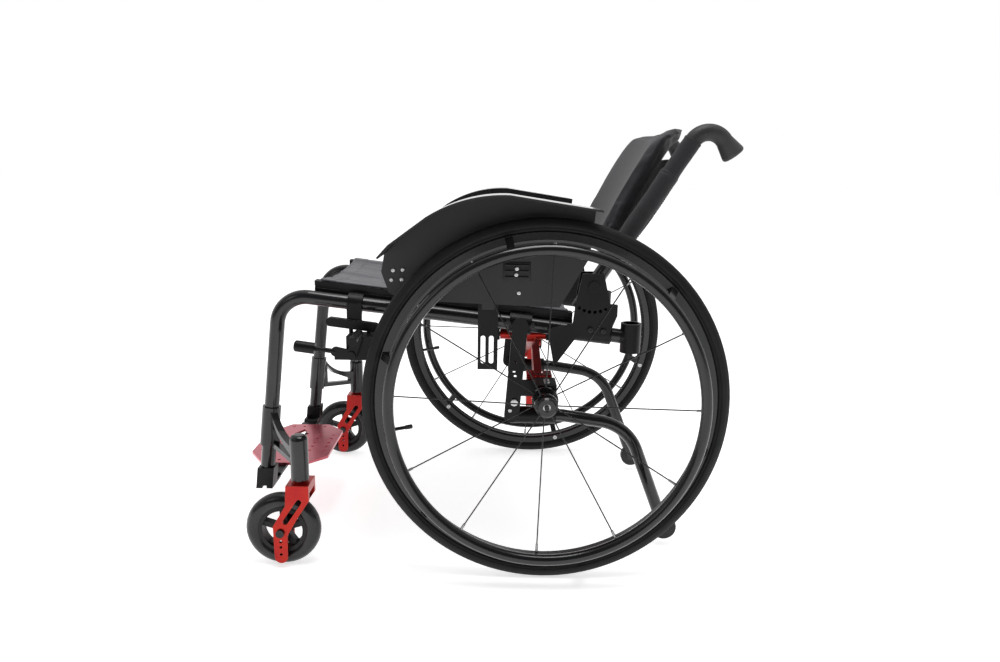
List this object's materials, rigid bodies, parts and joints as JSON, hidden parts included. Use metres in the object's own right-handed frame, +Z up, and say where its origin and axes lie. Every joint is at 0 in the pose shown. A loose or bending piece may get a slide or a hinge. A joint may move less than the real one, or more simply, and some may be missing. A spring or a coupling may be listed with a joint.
{
  "type": "manual wheelchair",
  "caption": "Folding manual wheelchair with a tubular frame on a cross-brace, sling seat and back, cambered spoked rear wheels, swivel casters, side guards and a flip-up footplate.",
  "frame": {"origin": "on the floor, under the middle of the bounding box", "axes": "+Z up, the chair faces -Y, +X to the sitter's left"},
  "size_m": [0.6896, 0.8745, 0.7442],
  "materials": {
    "gloss_frame": "gloss powder coat, dark anthracite",
    "black_fitting": "black anodised, satin",
    "red_aluminium": "red anodised, satin gloss",
    "tyre": "black rubber with fine tread",
    "rubber": "matt moulded rubber",
    "black_aluminium": "black anodised",
    "steel": "zinc plated",
    "black_plastic": "moulded, satin",
    "guard_panel": "black moulded panel, lightly glossy",
    "seat_fabric": "grey woven nylon",
    "back_fabric": "dark padded woven fabric"
  },
  "bodies": {
    "right_frame": {"right_frame_tube": "gloss_frame", "right_rear_socket": "black_fitting", "right_leg_end": "black_fitting", "right_caster_bracket": "gloss_frame", "right_axle_pin": "steel", "right_axle_plate": "black_fitting", "right_brace_block": "red_aluminium", "right_back_bracket": "black_fitting", "right_guard_bracket": "black_fitting", "right_brake_body": "black_fitting"},
    "left_frame": {"left_frame_tube": "gloss_frame", "left_rear_socket": "black_fitting", "left_leg_end": "black_fitting", "left_caster_bracket": "gloss_frame", "left_axle_pin": "steel", "left_axle_plate": "black_fitting", "left_brace_block": "red_aluminium", "left_back_bracket": "black_fitting", "left_guard_bracket": "black_fitting", "left_brake_body": "black_fitting"},
    "front_brace": {"front_brace_arm": "red_aluminium"},
    "rear_brace": {"rear_brace_arm": "red_aluminium"},
    "left_rail": {"left_seat_rail": "black_fitting"},
    "right_rail": {"right_seat_rail": "black_fitting", "seat_sling": "seat_fabric"},
    "footplate": {"footplate": "red_aluminium", "footplate_carrier": "black_fitting"},
    "right_wheel": {"right_tyre": "tyre", "right_rim": "black_aluminium", "right_spokes": "black_aluminium", "right_hub": "black_aluminium", "right_handrim": "black_aluminium"},
    "right_button": {"right_axle_button": "steel"},
    "right_fork": {"right_fork": "red_aluminium", "right_caster_axle": "steel"},
    "right_caster": {"right_caster_tyre": "rubber", "right_caster_core": "black_plastic"},
    "right_back": {"right_back_cane": "gloss_frame", "right_push_grip": "rubber", "back_sling": "back_fabric"},
    "right_guard": {"right_side_guard": "guard_panel"},
    "right_brake": {"right_brake_lever": "black_fitting"},
    "right_antitip": {"right_antitip_tube": "black_fitting"},
    "right_antitip_roller": {"right_antitip_wheel": "rubber"},
    "left_wheel": {"left_tyre": "tyre", "left_rim": "black_aluminium", "left_spokes": "black_aluminium", "left_hub": "black_aluminium", "left_handrim": "black_aluminium"},
    "left_button": {"left_axle_button": "steel"},
    "left_fork": {"left_fork": "red_aluminium", "left_caster_axle": "steel"},
    "left_caster": {"left_caster_tyre": "rubber", "left_caster_core": "black_plastic"},
    "left_back": {"left_back_cane": "gloss_frame", "left_push_grip": "rubber"},
    "left_guard": {"left_side_guard": "guard_panel"},
    "left_brake": {"left_brake_lever": "black_fitting"},
    "left_antitip": {"left_antitip_tube": "black_fitting"},
    "left_antitip_roller": {"left_antitip_wheel": "rubber"}
  },
  "joints": [
    {"name": "frame_fold", "type": "hinge", "parent": "right_frame", "child": "front_brace", "pos_m": [-0.155, 0.09775, 0.29003], "axis": [0, -1, 0], "range_deg": [0, 60], "deforming": ["seat_sling", "back_sling"]},
    {"name": "brace_cross", "type": "hinge", "parent": "front_brace", "child": "rear_brace", "pos_m": [0, 0.11275, 0.33703], "axis": [0, -1, 0], "range_deg": [-120, 0]},
    {"name": "left_frame_fold", "type": "hinge", "parent": "rear_brace", "child": "left_frame", "pos_m": [0.155, 0.11275, 0.29003], "axis": [0, -1, 0], "range_deg": [0, 60]},
    {"name": "left_rail_level", "type": "hinge", "parent": "front_brace", "child": "left_rail", "pos_m": [0.155, 0.11875, 0.38403], "axis": [0, -1, 0], "range_deg": [-60, 0]},
    {"name": "right_rail_level", "type": "hinge", "parent": "rear_brace", "child": "right_rail", "pos_m": [-0.155, 0.11875, 0.38403], "axis": [0, -1, 0], "range_deg": [0, 60]},
    {"name": "footplate_fold", "type": "hinge", "parent": "right_frame", "child": "footplate", "pos_m": [-0.15, -0.37135, 0.112], "axis": [0, -1, 0], "range_deg": [0, 90]},
    {"name": "right_wheel_spin", "type": "hinge", "parent": "right_frame", "child": "right_wheel", "pos_m": [-0.28, 0.11875, 0.29723], "axis": [-0.999, 0, 0.0436], "continuous": true},
    {"name": "right_axle_button_press", "type": "slide", "parent": "right_frame", "child": "right_button", "axis": [0.999, 0, -0.0436], "range_m": [0, 0.003], "stiffness_N_per_m": 500},
    {"name": "right_caster_swivel", "type": "hinge", "parent": "right_frame", "child": "right_fork", "pos_m": [-0.259, -0.28925, 0.23], "axis": [0, 0, 1], "continuous": true},
    {"name": "right_caster_spin", "type": "hinge", "parent": "right_fork", "child": "right_caster", "pos_m": [-0.259, -0.32025, 0.0635], "axis": [1, 0, 0], "continuous": true},
    {"name": "right_back_fold", "type": "hinge", "parent": "right_frame", "child": "right_back", "pos_m": [-0.178, 0.20075, 0.47613], "axis": [1, 0, 0], "range_deg": [0, 110]},
    {"name": "right_guard_lift", "type": "slide", "parent": "right_frame", "child": "right_guard", "axis": [0, 0, 1], "range_m": [0, 0.12]},
    {"name": "right_brake_turn", "type": "hinge", "parent": "right_frame", "child": "right_brake", "pos_m": [-0.239, -0.20125, 0.36208], "axis": [-1, 0, 0], "range_deg": [0, 28]},
    {"name": "right_antitip_turn", "type": "hinge", "parent": "right_frame", "child": "right_antitip", "pos_m": [-0.176, 0.11875, 0.24303], "axis": [0, -1, 0], "range_deg": [0, 180]},
    {"name": "right_antitip_spin", "type": "hinge", "parent": "right_antitip", "child": "right_antitip_roller", "pos_m": [-0.176, 0.34675, 0.034], "axis": [1, 0, 0], "continuous": true},
    {"name": "left_wheel_spin", "type": "hinge", "parent": "left_frame", "child": "left_wheel", "pos_m": [0.28, 0.11875, 0.29723], "axis": [0.999, 0, 0.0436], "continuous": true},
    {"name": "left_axle_button_press", "type": "slide", "parent": "left_frame", "child": "left_button", "axis": [-0.999, 0, -0.0436], "range_m": [0, 0.003], "stiffness_N_per_m": 500},
    {"name": "left_caster_swivel", "type": "hinge", "parent": "left_frame", "child": "left_fork", "pos_m": [0.259, -0.28925, 0.23], "axis": [0, 0, 1], "continuous": true},
    {"name": "left_caster_spin", "type": "hinge", "parent": "left_fork", "child": "left_caster", "pos_m": [0.259, -0.32025, 0.0635], "axis": [1, 0, 0], "continuous": true},
    {"name": "left_back_fold", "type": "hinge", "parent": "left_frame", "child": "left_back", "pos_m": [0.178, 0.20075, 0.47613], "axis": [1, 0, 0], "range_deg": [0, 110]},
    {"name": "left_guard_lift", "type": "slide", "parent": "left_frame", "child": "left_guard", "axis": [0, 0, 1], "range_m": [0, 0.12]},
    {"name": "left_brake_turn", "type": "hinge", "parent": "left_frame", "child": "left_brake", "pos_m": [0.239, -0.20125, 0.36208], "axis": [-1, 0, 0], "range_deg": [0, 28]},
    {"name": "left_antitip_turn", "type": "hinge", "parent": "left_frame", "child": "left_antitip", "pos_m": [0.176, 0.11875, 0.24303], "axis": [0, 1, 0], "range_deg": [0, 180]},
    {"name": "left_antitip_spin", "type": "hinge", "parent": "left_antitip", "child": "left_antitip_roller", "pos_m": [0.176, 0.34675, 0.034], "axis": [1, 0, 0], "continuous": true}
  ],
  "couplings": [
    {"joint": "brace_cross", "follows": "frame_fold", "ratio": -2},
    {"joint": "left_frame_fold", "follows": "frame_fold", "ratio": 1},
    {"joint": "left_rail_level", "follows": "frame_fold", "ratio": -1},
    {"joint": "right_rail_level", "follows": "frame_fold", "ratio": 1},
    {"joint": "footplate_fold", "follows": "frame_fold", "ratio": 1.5},
    {"joint": "left_back_fold", "follows": "right_back_fold", "ratio": 1}
  ]
}
